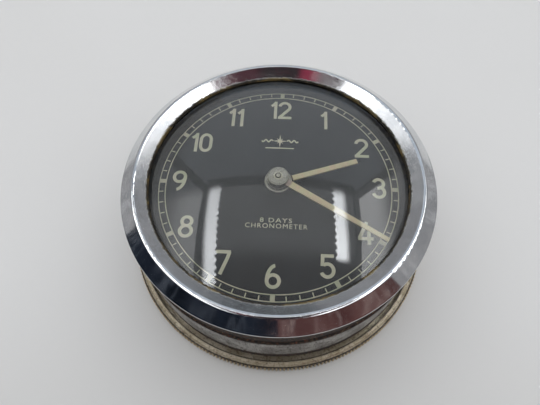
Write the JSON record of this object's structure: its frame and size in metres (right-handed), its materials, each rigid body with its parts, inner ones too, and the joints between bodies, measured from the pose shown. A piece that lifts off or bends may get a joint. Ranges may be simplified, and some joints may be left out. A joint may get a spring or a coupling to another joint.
{
  "type": "marine chronometer",
  "caption": "Round drum-cased ship's clock with a domed glass, chromed bezel, black dial, baton hands and a knurled winding back around a lever movement.",
  "frame": {"origin": "on the case's axis, in the plane that the knurled back rests on", "axes": "+Z out of the dial towards the glass, +Y towards 12 o'clock, +X towards 3 o'clock"},
  "size_m": [0.085, 0.085, 0.0332],
  "materials": {
    "case_steel": "aged nickel-plated steel, worn grey with brown tarnish under the rim",
    "chrome": "polished chromium plate with fine scratches",
    "glass": "clear domed crystal",
    "gasket": "old brown cork and lacquer seal",
    "dial_black": "matt slate-black painted dial",
    "nickel_brass": "worn nickel over brass, satin",
    "brass": "fine-grained polished brass",
    "steel": "polished and hardened steel",
    "blued_steel": "blued screws and springs",
    "cream_enamel": "aged cream luminous paint on the hands",
    "ruby": "polished synthetic ruby"
  },
  "bodies": {
    "case": {"case_body": "case_steel", "bezel": "chrome", "glass": "glass", "glass_gasket": "gasket", "rehaut_ring": "dial_black", "dial": "dial_black", "dial_ring": "brass", "back_boss": "steel", "boss_screws": "blued_steel", "back_plate": "brass", "front_plate": "brass", "plate_pillars": "brass", "plate_screws": "blued_steel", "movement_screws": "blued_steel", "jewels": "ruby", "click_screw": "blued_steel", "click_spring": "blued_steel", "hairspring": "blued_steel", "hairspring_stud": "steel", "balance_cock": "brass", "cock_screws": "blued_steel", "minute_post": "steel"},
    "minute": {"centre_arbor": "steel", "centre_wheel": "brass", "cannon_pinion": "steel", "minute_hub": "steel", "minute_hand": "cream_enamel", "set_knob": "steel", "knob_screw": "blued_steel"},
    "hour": {"hour_wheel": "brass", "hour_hub": "steel", "hour_hand": "cream_enamel"},
    "motion": {"minute_wheel": "brass"},
    "intermediate": {"intermediate_wheel": "brass", "intermediate_arbor": "steel"},
    "barrel": {"barrel_drum": "brass", "barrel_cover": "brass", "mainspring": "blued_steel"},
    "third": {"third_wheel": "brass", "third_arbor": "steel"},
    "fourth": {"fourth_wheel": "brass", "fourth_arbor": "steel"},
    "escape": {"escape_wheel": "steel", "escape_arbor": "steel"},
    "lever": {"pallet_lever": "steel", "pallet_stones": "ruby", "pallet_arbor": "steel"},
    "balance": {"balance_wheel": "brass", "balance_staff": "steel", "impulse_roller": "steel"},
    "winding": {"winding_back": "nickel_brass", "ring_gear": "brass", "ring_gear_screws": "blued_steel"},
    "winder": {"barrel_arbor": "steel", "winding_pinion": "steel", "ratchet_wheel": "steel"},
    "click": {"click": "steel"},
    "regulator": {"regulator": "steel"}
  },
  "joints": [
    {"name": "minute_hand_turn", "type": "hinge", "parent": "case", "child": "minute", "pos_m": [0, 0, 0.015], "axis": [0, 0, -1], "continuous": true},
    {"name": "hour_hand_turn", "type": "hinge", "parent": "case", "child": "hour", "pos_m": [0, 0, 0.023], "axis": [0, 0, -1], "continuous": true},
    {"name": "minute_wheel_turn", "type": "hinge", "parent": "case", "child": "motion", "pos_m": [-0.00246, -0.00677, 0.022], "axis": [0, 0, -1], "continuous": true},
    {"name": "intermediate_wheel_turn", "type": "hinge", "parent": "case", "child": "intermediate", "pos_m": [0.00246, 0.00959, 0.015], "axis": [0, 0, -1], "continuous": true},
    {"name": "barrel_turn", "type": "hinge", "parent": "case", "child": "barrel", "pos_m": [-0.01429, 0.00825, 0.014], "axis": [0, 0, -1], "continuous": true},
    {"name": "third_wheel_turn", "type": "hinge", "parent": "case", "child": "third", "pos_m": [0.00495, -0.00857, 0.015], "axis": [0, 0, -1], "continuous": true},
    {"name": "fourth_wheel_turn", "type": "hinge", "parent": "case", "child": "fourth", "pos_m": [0.01374, -0.00538, 0.015], "axis": [0, 0, -1], "continuous": true},
    {"name": "escape_wheel_turn", "type": "hinge", "parent": "case", "child": "escape", "pos_m": [0.01814, 0.00225, 0.015], "axis": [0, 0, -1], "continuous": true},
    {"name": "balance_swing", "type": "hinge", "parent": "case", "child": "balance", "pos_m": [0.0142, 0.01692, 0.013], "axis": [0, 0, -1], "range_deg": [-26, 26]},
    {"name": "pallet_lever_rock", "type": "hinge", "parent": "case", "child": "lever", "pos_m": [0.01679, 0.00726, 0.013], "axis": [0, 0, -1], "range_deg": [-6.5, 6.5]},
    {"name": "winding_back_turn", "type": "hinge", "parent": "case", "child": "winding", "pos_m": [0, 0, 0.001], "axis": [0, 0, -1], "continuous": true},
    {"name": "barrel_arbor_turn", "type": "hinge", "parent": "case", "child": "winder", "pos_m": [-0.01429, 0.00825, 0.006], "axis": [0, 0, -1], "continuous": true},
    {"name": "click_swing", "type": "hinge", "parent": "case", "child": "click", "pos_m": [-0.02275, 0.00517, 0.0066], "axis": [0, 0, 1], "range_deg": [-8, 4]},
    {"name": "regulator_index", "type": "hinge", "parent": "case", "child": "regulator", "pos_m": [0.0142, 0.01692, 0.0178], "axis": [0, 0, 1], "range_deg": [-15, 15]}
  ],
  "couplings": [
    {"joint": "hour_hand_turn", "follows": "minute_hand_turn", "ratio": 0.083333},
    {"joint": "minute_wheel_turn", "follows": "minute_hand_turn", "ratio": -0.33333},
    {"joint": "intermediate_wheel_turn", "follows": "minute_hand_turn", "ratio": -0.125},
    {"joint": "barrel_turn", "follows": "minute_hand_turn", "ratio": 0.020833},
    {"joint": "third_wheel_turn", "follows": "minute_hand_turn", "ratio": -8},
    {"joint": "fourth_wheel_turn", "follows": "minute_hand_turn", "ratio": 60},
    {"joint": "escape_wheel_turn", "follows": "minute_hand_turn", "ratio": -600},
    {"joint": "pallet_lever_rock", "follows": "balance_swing", "ratio": -0.25},
    {"joint": "barrel_arbor_turn", "follows": "winding_back_turn", "ratio": 4}
  ]
}
